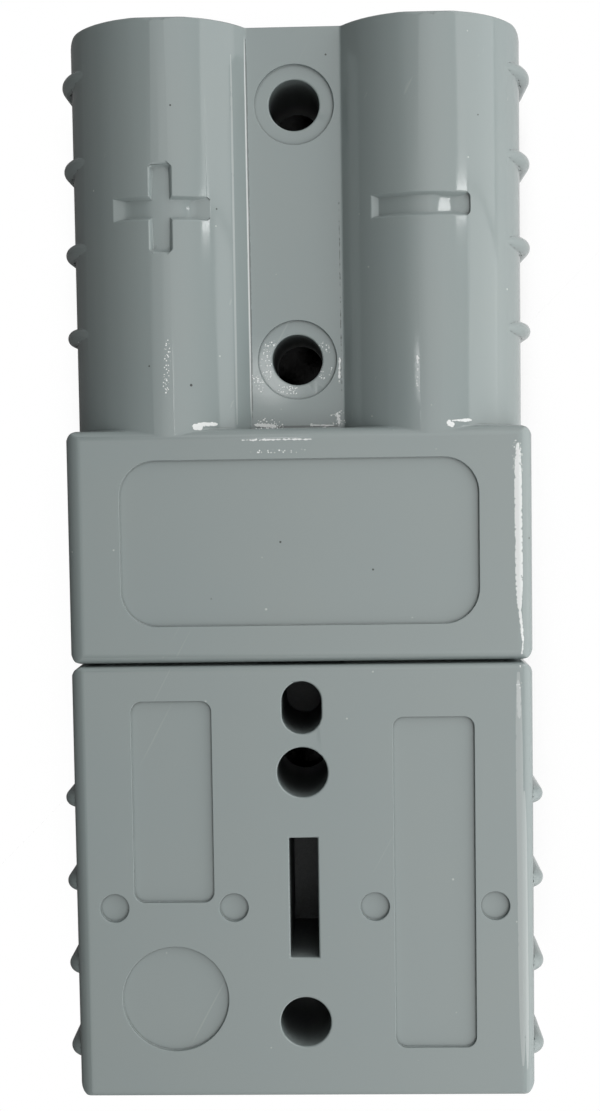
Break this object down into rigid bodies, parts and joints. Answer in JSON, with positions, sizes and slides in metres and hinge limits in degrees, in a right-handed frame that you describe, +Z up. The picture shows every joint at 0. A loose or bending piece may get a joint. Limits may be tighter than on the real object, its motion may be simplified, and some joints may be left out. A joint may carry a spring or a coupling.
{
  "type": "genderless power connector",
  "caption": "Plugged pair of identical flat two-pole moulded power connector halves, with barrel cable entries, mounting holes and side grip ribs, that pull apart lengthwise.",
  "frame": {"origin": "on the resting plane, below the middle of the plugged pair", "axes": "+Z up out of the upper half's barrel side, +Y out of the upper half's cable entries, +X towards the negative poles"},
  "size_m": [0.0384, 0.0848, 0.0159],
  "materials": {
    "grey_moulding": "smooth moulded grey polycarbonate, semi-gloss",
    "silver_plate": "silver-plated copper",
    "spring_steel": "bright rolled stainless strip"
  },
  "bodies": {
    "upper_half": {"upper_housing": "grey_moulding", "upper_contact_positive": "silver_plate", "upper_contact_negative": "silver_plate", "upper_spring_positive": "spring_steel", "upper_spring_negative": "spring_steel"},
    "lower_half": {"lower_housing": "grey_moulding", "lower_contact_positive": "silver_plate", "lower_contact_negative": "silver_plate", "lower_spring_positive": "spring_steel", "lower_spring_negative": "spring_steel"}
  },
  "joints": [
    {"name": "unplug", "type": "slide", "parent": "upper_half", "child": "lower_half", "axis": [0, -1, 0], "range_m": [0, 0.018]}
  ]
}
